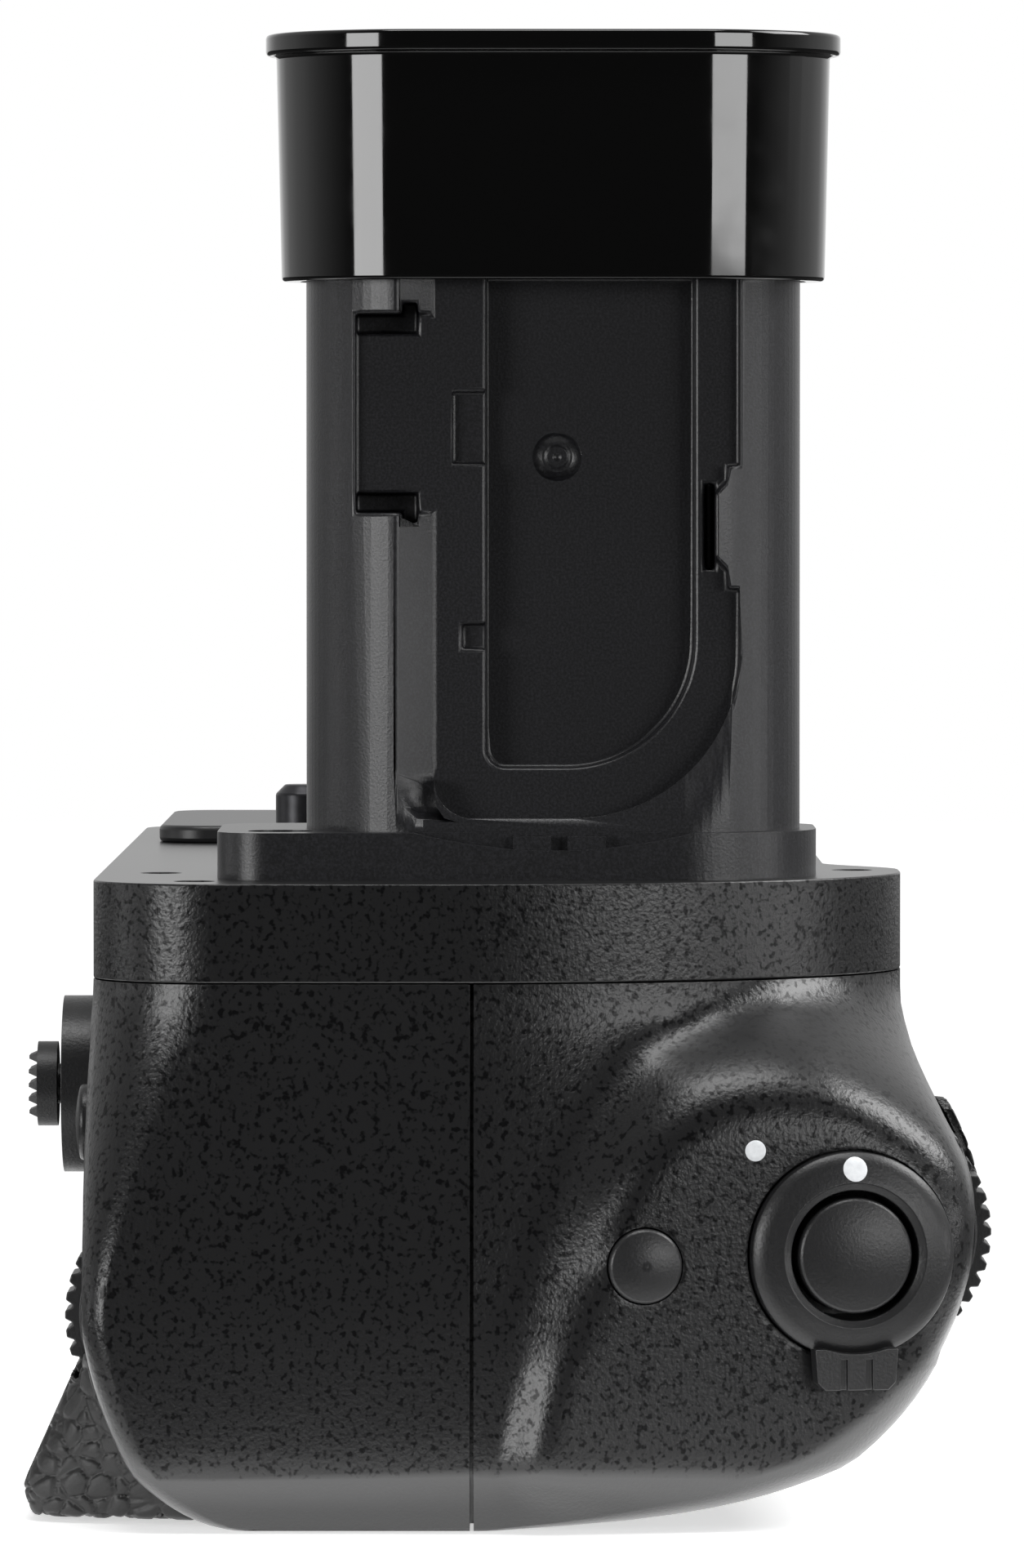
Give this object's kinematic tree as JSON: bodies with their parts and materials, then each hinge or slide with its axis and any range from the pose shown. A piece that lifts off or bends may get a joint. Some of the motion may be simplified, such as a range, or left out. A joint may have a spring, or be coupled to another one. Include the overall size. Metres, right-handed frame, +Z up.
{
  "type": "camera battery grip",
  "caption": "Vertical camera battery grip with a battery stem under a cap, shutter and dial controls, a joystick, a sliding battery tray and a geared attachment screw.",
  "frame": {"origin": "mouth of the tripod socket, on the base plane under the lens axis", "axes": "+X along the length, away from the shutter end; front is -Y; +Z up through the attachment screw"},
  "size_m": [0.1347, 0.0766, 0.1168],
  "materials": {
    "shell_plastic": "coarse stippled moulding",
    "stem_plastic": "fine textured satin",
    "gloss_cap": "high gloss",
    "satin_plastic": "fine satin grain",
    "dial_plastic": "matte ribbed",
    "rubber": "pebbled grain",
    "inner_plastic": "plain moulded",
    "gear_plastic": "natural acetal",
    "steel": "turned and plated",
    "black_screw": "black plated steel",
    "gold_contact": "gold plated",
    "circuit_board": "green solder mask"
  },
  "bodies": {
    "housing": {"top_cover": "shell_plastic", "front_shell": "shell_plastic", "rear_shell": "shell_plastic", "stem_base_plate": "stem_plastic", "battery_stem": "stem_plastic", "stem_contact_block": "inner_plastic", "stem_contacts": "gold_contact", "locating_peg": "black_screw", "screw_bracket": "steel", "wheel_axle": "steel", "tripod_socket": "steel", "battery_chamber": "inner_plastic", "chamber_contact_block": "inner_plastic", "chamber_contacts": "gold_contact", "main_board": "circuit_board", "shutter_switch": "steel", "function_switch": "steel", "front_dial_shaft": "steel", "rear_dial_shaft": "steel", "joystick_bezel": "satin_plastic", "thumb_switch": "steel", "thumb_rest": "rubber", "grip_skin": "rubber", "camera_pad": "rubber", "foot_screws": "black_screw", "top_screws": "black_screw"},
    "cap": {"contact_cap": "gloss_cap"},
    "screw": {"attachment_screw": "steel", "screw_gear": "gear_plastic"},
    "wheel": {"attachment_wheel": "dial_plastic"},
    "tray": {"battery_tray": "inner_plastic", "tray_cover": "satin_plastic"},
    "latch": {"tray_latch_knob": "satin_plastic", "tray_latch_tongue": "steel"},
    "shutter": {"shutter_button": "satin_plastic"},
    "lock": {"lock_ring": "satin_plastic"},
    "function": {"function_button": "satin_plastic"},
    "thumb": {"thumb_button": "satin_plastic"},
    "front_wheel": {"front_dial": "dial_plastic"},
    "rear_wheel": {"rear_dial": "dial_plastic"},
    "gimbal": {"joystick_gimbal": "steel"},
    "stick": {"joystick_knob": "dial_plastic"}
  },
  "joints": [
    {"name": "cap_lift", "type": "slide", "parent": "housing", "child": "cap", "axis": [0, 0, 1], "range_m": [0, 0.03]},
    {"name": "wheel_turn", "type": "hinge", "parent": "housing", "child": "wheel", "pos_m": [0, 0.0225, 0.0452], "axis": [0, 0, 1], "continuous": true},
    {"name": "screw_turn", "type": "hinge", "parent": "housing", "child": "screw", "pos_m": [0, 0, 0.0452], "axis": [0, 0, 1], "continuous": true},
    {"name": "tray_slide", "type": "slide", "parent": "housing", "child": "tray", "axis": [1, 0, 0], "range_m": [0, 0.058]},
    {"name": "latch_turn", "type": "hinge", "parent": "tray", "child": "latch", "pos_m": [0.0725, -0.01355, 0.02355], "axis": [1, 0, 0], "range_deg": [0, 90]},
    {"name": "shutter_press", "type": "slide", "parent": "housing", "child": "shutter", "axis": [0.9816, 0.1908, 0], "range_m": [0, 0.001], "stiffness_N_per_m": 300},
    {"name": "lock_turn", "type": "hinge", "parent": "housing", "child": "lock", "pos_m": [-0.05711, -0.0276, 0.0216], "axis": [-0.9816, -0.1908, 0], "range_deg": [0, 43]},
    {"name": "function_press", "type": "slide", "parent": "housing", "child": "function", "axis": [0.9816, 0.1908, 0], "range_m": [0, 0.0006], "stiffness_N_per_m": 300},
    {"name": "thumb_press", "type": "slide", "parent": "housing", "child": "thumb", "axis": [0, -1, 0], "range_m": [0, 0.0006], "stiffness_N_per_m": 300},
    {"name": "front_dial_turn", "type": "hinge", "parent": "housing", "child": "front_wheel", "pos_m": [-0.042, -0.0292, 0.0224], "axis": [1, 0, 0], "continuous": true},
    {"name": "rear_dial_turn", "type": "hinge", "parent": "housing", "child": "rear_wheel", "pos_m": [-0.0465, 0.0234, 0.0162], "axis": [1, 0, 0], "continuous": true},
    {"name": "stick_up_down", "type": "hinge", "parent": "housing", "child": "gimbal", "pos_m": [-0.027, 0.0296, 0.033], "axis": [1, 0, 0], "range_deg": [-8, 8], "stiffness_Nm_per_rad": 0.02},
    {"name": "stick_side", "type": "hinge", "parent": "gimbal", "child": "stick", "pos_m": [-0.027, 0.0296, 0.033], "axis": [0, 0, 1], "range_deg": [-8, 8], "stiffness_Nm_per_rad": 0.02}
  ],
  "couplings": [
    {"joint": "wheel_turn", "follows": "screw_turn", "ratio": -1.25}
  ]
}
